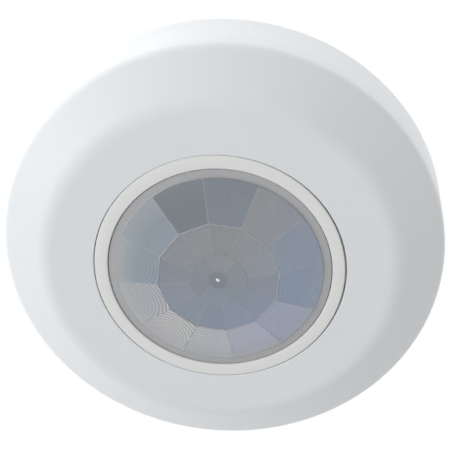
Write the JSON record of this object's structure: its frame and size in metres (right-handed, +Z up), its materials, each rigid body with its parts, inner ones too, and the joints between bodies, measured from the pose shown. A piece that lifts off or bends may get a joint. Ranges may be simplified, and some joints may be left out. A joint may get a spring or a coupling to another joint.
{
  "type": "ceiling motion sensor",
  "caption": "Round ceiling motion sensor that sees a moving person by body heat through a faceted lens and switches an alarm relay.",
  "frame": {"origin": "centre of the base plate's back face, which lies on the ceiling", "axes": "+Z up into the ceiling along the sensor's axis, so the lens faces -Z; +X along the line of the two mounting slots; the cable entry and the terminals are on the -Y side"},
  "size_m": [0.115, 0.115, 0.0283],
  "materials": {
    "cover_plastic": "fine satin",
    "ring_plastic": "satin",
    "base_plastic": "satin",
    "lens_plastic": "milky translucent",
    "seal_rubber": "matt",
    "grommet_rubber": "matt",
    "board_laminate": "solder mask over glass laminate",
    "screw_steel": "zinc plated",
    "can_steel": "nickel plated",
    "window_filter": "coated silicon",
    "terminal_plastic": "satin",
    "contact_brass": "tin-edged brass",
    "relay_plastic": "satin",
    "capacitor_metal": "bright",
    "sleeve_film": "shrunk film",
    "chip_resin": "matt",
    "tinned_metal": "tinned",
    "ceramic": "fired",
    "jumper_plastic": "satin",
    "led_resin": "diffused",
    "rotor_plastic": "satin",
    "switch_plastic": "satin",
    "spring_wire": "bright wire"
  },
  "bodies": {
    "base": {"base_plate": "base_plastic", "cable_grommet": "grommet_rubber", "circuit_board": "board_laminate", "board_screws": "screw_steel", "pir_spacer": "rotor_plastic", "pir_header": "can_steel", "pir_can": "can_steel", "pir_window": "window_filter", "terminal_block": "terminal_plastic", "terminal_clamps": "contact_brass", "terminal_screws": "screw_steel", "alarm_relay": "relay_plastic", "capacitor_cans": "capacitor_metal", "capacitor_sleeves": "sleeve_film", "chip_bodies": "chip_resin", "chip_leads": "tinned_metal", "chip_resistors": "chip_resin", "chip_capacitors": "ceramic", "jumper_header": "switch_plastic", "jumper_pins": "contact_brass", "status_led": "led_resin", "led_leads": "tinned_metal", "trimmer_body": "jumper_plastic", "tamper_housing": "switch_plastic", "tamper_spring": "spring_wire", "solder_tails": "tinned_metal"},
    "cover": {"front_cover": "cover_plastic", "lens_retainer": "base_plastic", "retainer_screws": "screw_steel"},
    "lens_unit": {"lens_ring": "ring_plastic", "fresnel_lens": "lens_plastic", "lens_seal": "seal_rubber"},
    "tamper_plunger": {"tamper_plunger": "relay_plastic"},
    "trimmer_rotor": {"trimmer_rotor": "rotor_plastic"},
    "jumper_cap_1": {"jumper_cap_1": "jumper_plastic"},
    "jumper_cap_2": {"jumper_cap_2": "jumper_plastic"}
  },
  "joints": [
    {"name": "cover_pull", "type": "slide", "parent": "base", "child": "cover", "axis": [0, 0, -1], "range_m": [0, 0.04]},
    {"name": "lens_turn", "type": "hinge", "parent": "cover", "child": "lens_unit", "pos_m": [0, 0, -0.0241], "axis": [0, 0, -1], "range_deg": [-15, 15]},
    {"name": "tamper_press", "type": "slide", "parent": "base", "child": "tamper_plunger", "axis": [0, 0, 1], "range_m": [0, 0.0006], "stiffness_N_per_m": 300, "springref_m": -0.001, "deforming": ["tamper_spring"]},
    {"name": "trimmer_turn", "type": "hinge", "parent": "base", "child": "trimmer_rotor", "pos_m": [-0.01949, -0.00909, -0.0142], "axis": [0, 0, -1], "range_deg": [-135, 135]},
    {"name": "jumper_1_pull", "type": "slide", "parent": "base", "child": "jumper_cap_1", "axis": [0, 0, -1], "range_m": [0, 0.0042]},
    {"name": "jumper_2_pull", "type": "slide", "parent": "base", "child": "jumper_cap_2", "axis": [0, 0, -1], "range_m": [0, 0.0042]}
  ]
}
